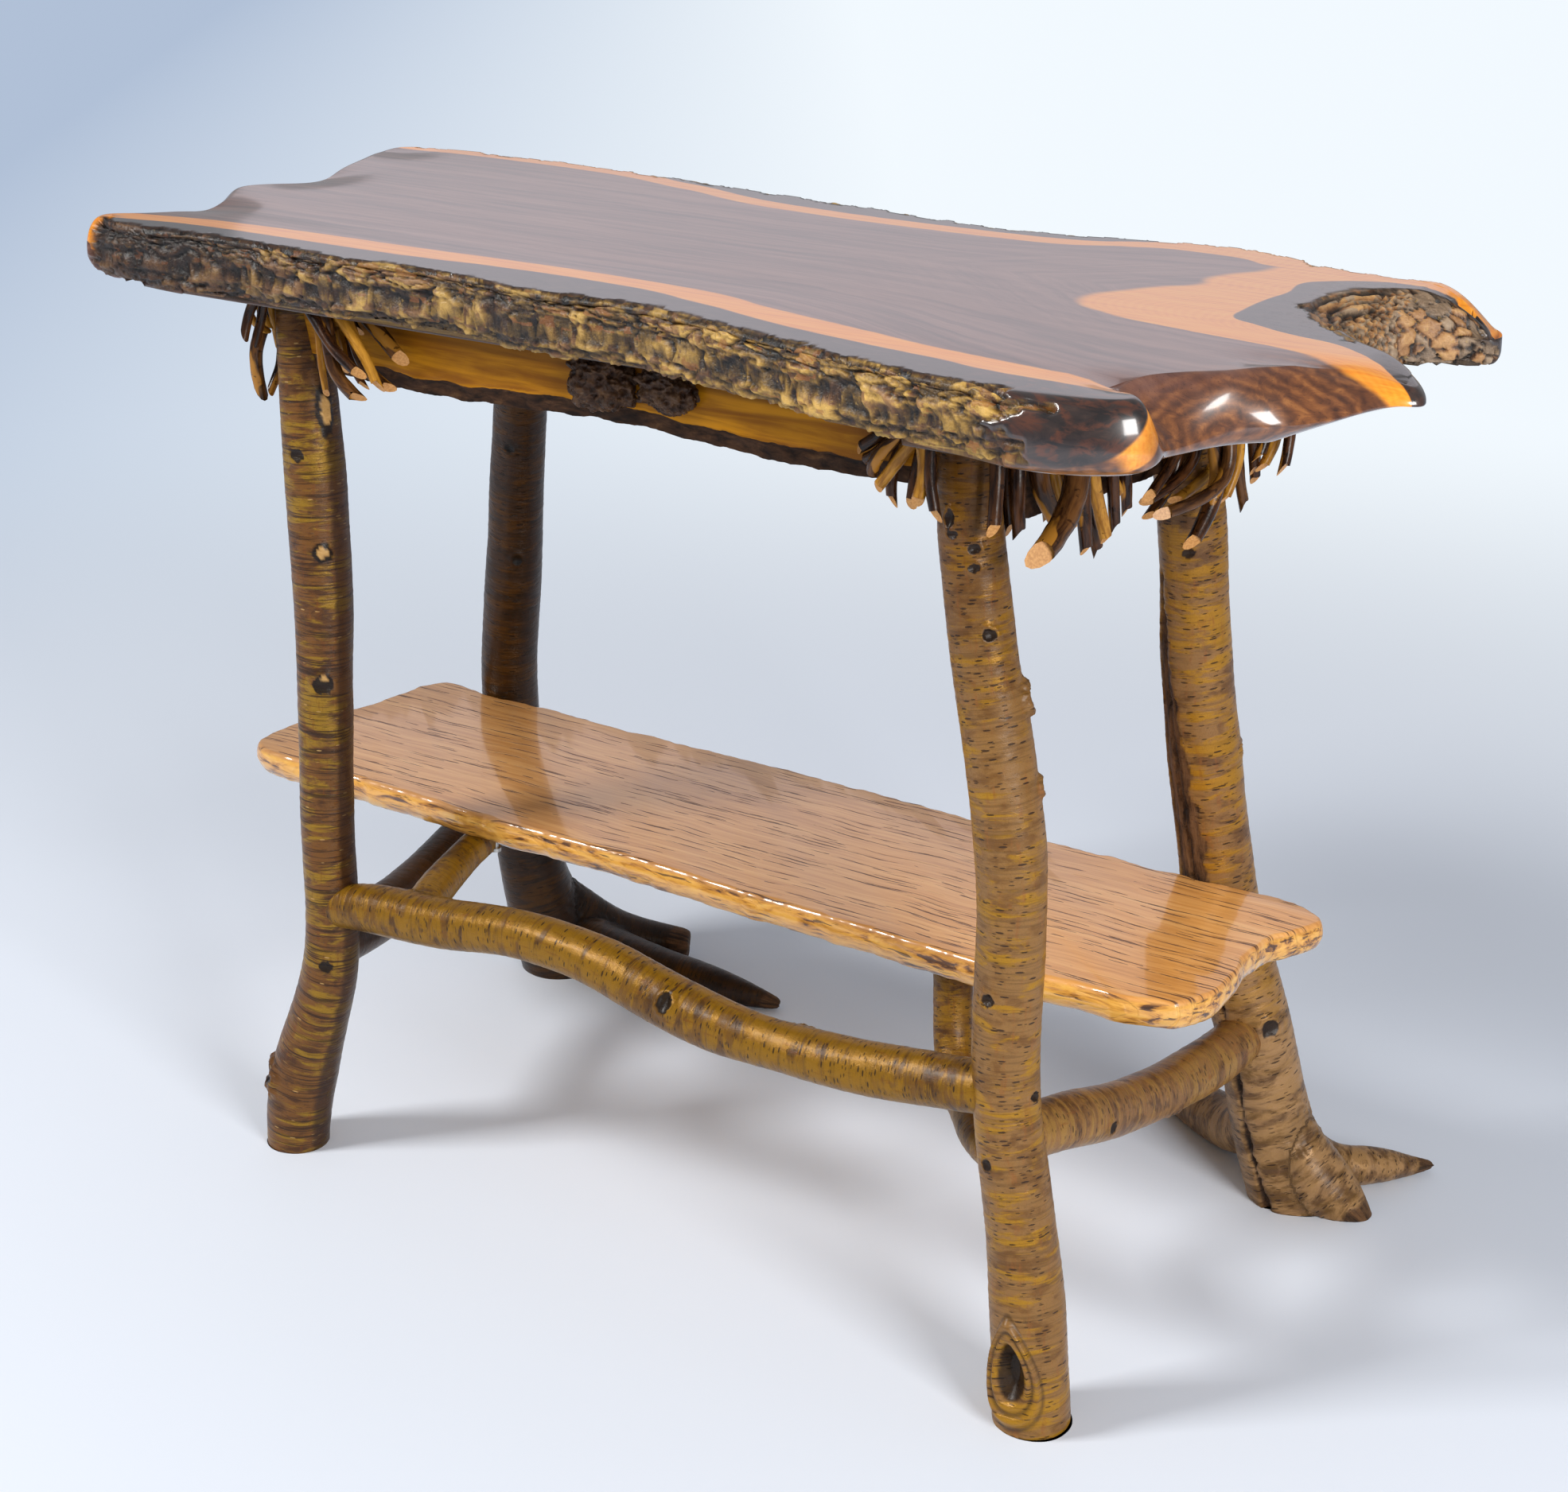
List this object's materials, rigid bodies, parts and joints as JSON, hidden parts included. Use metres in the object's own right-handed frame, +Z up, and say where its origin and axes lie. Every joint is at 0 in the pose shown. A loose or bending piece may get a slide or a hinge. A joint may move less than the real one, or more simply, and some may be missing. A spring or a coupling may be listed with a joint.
{
  "type": "rustic console table",
  "caption": "Rustic console table with a live-edge crotch slab, natural limb legs with root toes, branch stretchers, wavy aprons, twig fans and a live-edge lower shelf.",
  "frame": {"origin": "on the floor, under the middle of the whole table's bounding box", "axes": "+X along the slab, towards its forked end; +Y from the front edge to the back; +Z up"},
  "size_m": [1.0565, 0.5847, 0.77],
  "materials": {
    "slab": "polished dark heartwood with orange sapwood and bark edges",
    "leg_bark": "varnished golden-brown bark",
    "branch_bark": "varnished golden-brown bark",
    "shelf": "satin peach-tan wood with dark flecks",
    "apron": "satin golden wood with a dark wavy edge",
    "twig": "varnished twigs, partly peeled, with cut ends",
    "burl": "rough dark burl",
    "screw_steel": "brushed"
  },
  "bodies": {
    "root": {"top_slab": "slab", "front_leg_left": "leg_bark", "front_leg_right": "leg_bark", "back_leg_right": "leg_bark", "back_leg_left": "leg_bark", "front_apron": "apron", "back_apron": "apron", "left_apron": "apron", "right_apron": "apron", "shelf": "shelf", "front_stretcher": "branch_bark", "left_stretcher": "branch_bark", "right_stretcher": "branch_bark", "knee_brace": "branch_bark", "burl_left": "burl", "burl_right": "burl", "twigs_front_left": "twig", "twigs_front_right": "twig", "twigs_right_front": "twig", "twigs_right_back": "twig", "twigs_back_right": "twig", "twigs_back_left": "twig", "twigs_left_back": "twig", "twigs_left_front": "twig", "slab_screws": "screw_steel", "shelf_screws": "screw_steel"}
  },
  "joints": []
}
